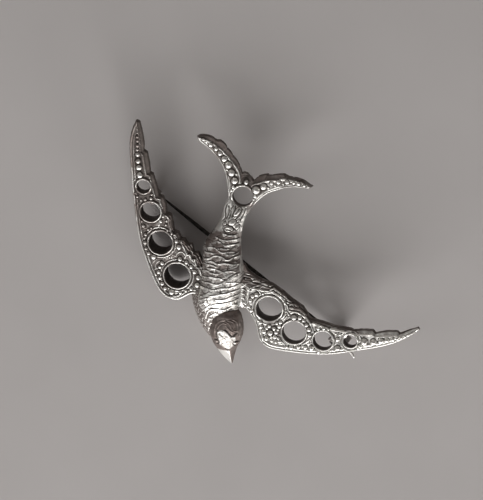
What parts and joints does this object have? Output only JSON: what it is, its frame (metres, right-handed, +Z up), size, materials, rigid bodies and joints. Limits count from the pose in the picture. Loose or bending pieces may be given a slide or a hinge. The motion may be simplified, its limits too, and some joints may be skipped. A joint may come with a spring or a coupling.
{
  "type": "swallow brooch",
  "caption": "Cast swallow brooch with spread openwork wings, forked tail, empty round stone seats, bead relief and a hinged pin on its back.",
  "frame": {"origin": "centre of the bottom of the bounding box, on the surface that the brooch lies on", "axes": "+Z up off the surface, out of the bird's back; the beak points towards -Y and the longer right wing towards +X"},
  "size_m": [0.0556, 0.0498, 0.0142],
  "materials": {
    "cast_metal": "cast white metal, darkened in the recesses and worn bright on the high points",
    "pin_wire": "drawn steel wire, dull and slightly darkened"
  },
  "bodies": {
    "bird": {"swallow": "cast_metal", "hinge_rivet": "pin_wire"},
    "pin": {"pin_stem": "pin_wire"}
  },
  "joints": [
    {"name": "pin_hinge", "type": "hinge", "parent": "bird", "child": "pin", "pos_m": [0.0129, -0.01988, 0.00158], "axis": [-0.6199, -0.7567, 0.2079], "range_deg": [0, 90]}
  ]
}
